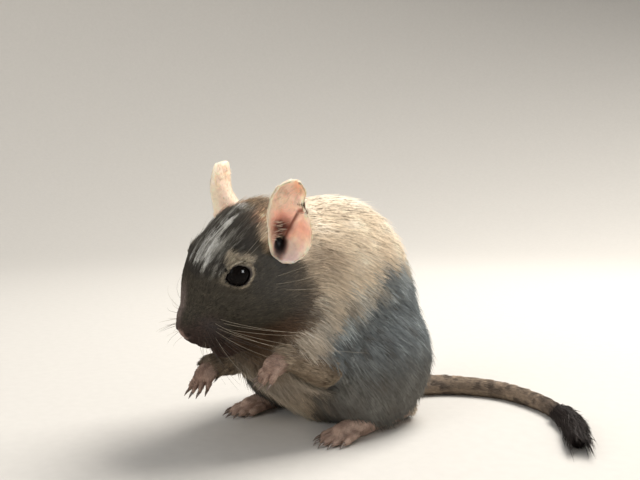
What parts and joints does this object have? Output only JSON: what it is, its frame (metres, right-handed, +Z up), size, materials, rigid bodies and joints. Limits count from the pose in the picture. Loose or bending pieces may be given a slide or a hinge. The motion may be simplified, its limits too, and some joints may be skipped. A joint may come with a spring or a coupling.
{
  "type": "degu",
  "caption": "Life-size still model of a degu with a dark head and a pale body, sitting hunched with raised forepaws and a bent head, its tufted tail laid round on the floor.",
  "frame": {"origin": "middle of the part's box in plan, on the floor that it rests on", "axes": "+Z up; the trunk faces -Y, so the animal's left side is towards +X"},
  "size_m": [0.1282, 0.1194, 0.0857],
  "materials": {
    "hood": "matt short fur",
    "coat": "matt short fur",
    "ear_skin": "thin bare skin",
    "foot_skin": "bare skin under short hair",
    "brush": "coarse dark hair",
    "eye": "wet gloss"
  },
  "bodies": {
    "root": {"ear_left": "ear_skin", "ear_right": "ear_skin", "eye_left": "eye", "eye_right": "eye", "foot_left": "foot_skin", "foot_right": "foot_skin", "forearm_left": "coat", "forearm_right": "coat", "hand_left": "foot_skin", "hand_right": "foot_skin", "head": "hood", "neck": "coat", "shank_left": "coat", "shank_right": "coat", "tail_base": "coat", "tail_end": "brush", "tail_middle": "coat", "thigh_left": "coat", "thigh_right": "coat", "torso": "coat", "upper_arm_left": "coat", "upper_arm_right": "coat", "whisker_pad_left": "hood", "whisker_pad_right": "hood"}
  },
  "joints": []
}
